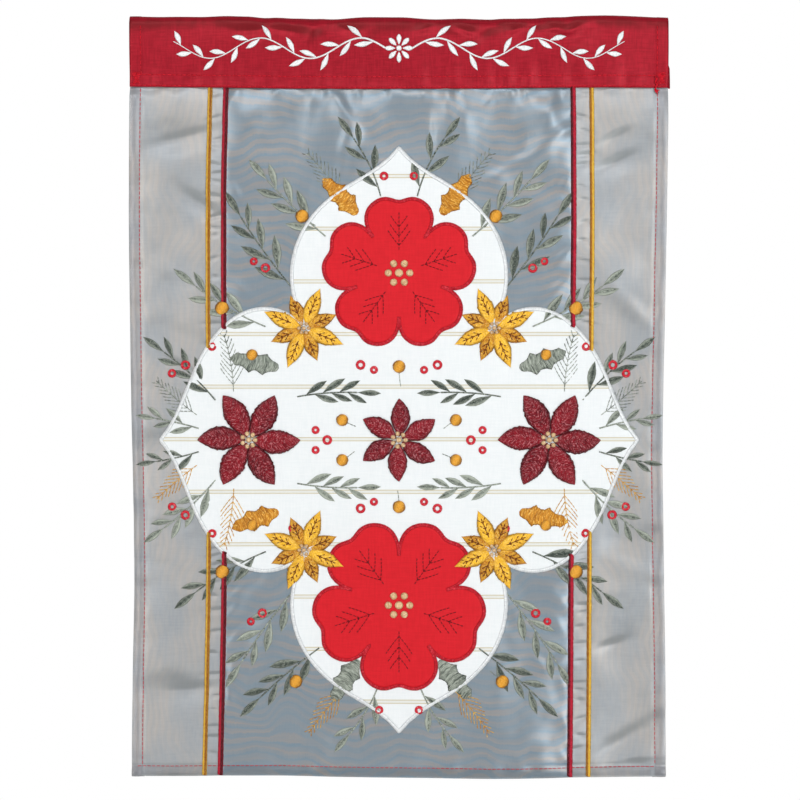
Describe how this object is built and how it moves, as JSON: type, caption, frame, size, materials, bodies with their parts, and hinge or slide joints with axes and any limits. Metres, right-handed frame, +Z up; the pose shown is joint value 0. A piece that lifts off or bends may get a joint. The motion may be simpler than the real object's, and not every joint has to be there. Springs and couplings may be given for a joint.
{
  "type": "garden flag",
  "caption": "Small hanging garden flag: satin cloth panels with a red pole sleeve, a white applied medallion and red applied rosettes.",
  "frame": {"origin": "middle of the sleeve's folded top edge, where the flag hangs", "axes": "+Z up along the flag's height, +Y away from the viewer through the cloth, +X to the viewer's right along the sleeve"},
  "size_m": [0.3234, 0.0119, 0.4584],
  "materials": {
    "side_satin": "silver-grey polyester satin",
    "centre_satin": "blue-grey polyester satin with a watered sheen",
    "sleeve_satin": "crimson polyester satin",
    "medallion_cloth": "white plain-weave polyester",
    "rosette_cloth": "bright red plain-weave polyester",
    "white_thread": "glossy white polyester embroidery thread",
    "red_thread": "glossy red polyester embroidery thread of the stripes, borders, berries and hems",
    "crimson_thread": "glossy dark red polyester embroidery thread of the flowers and veins",
    "gold_thread": "glossy gold polyester embroidery thread",
    "sage_thread": "glossy grey-green polyester embroidery thread",
    "beige_thread": "glossy beige polyester embroidery thread of the knots",
    "brown_thread": "brown polyester embroidery thread of the gold petals' veins"
  },
  "bodies": {
    "root": {"panel_left": "side_satin", "panel_centre": "centre_satin", "panel_right": "side_satin", "sleeve": "sleeve_satin", "medallion": "medallion_cloth", "rosette_upper": "rosette_cloth", "rosette_lower": "rosette_cloth"}
  },
  "joints": []
}
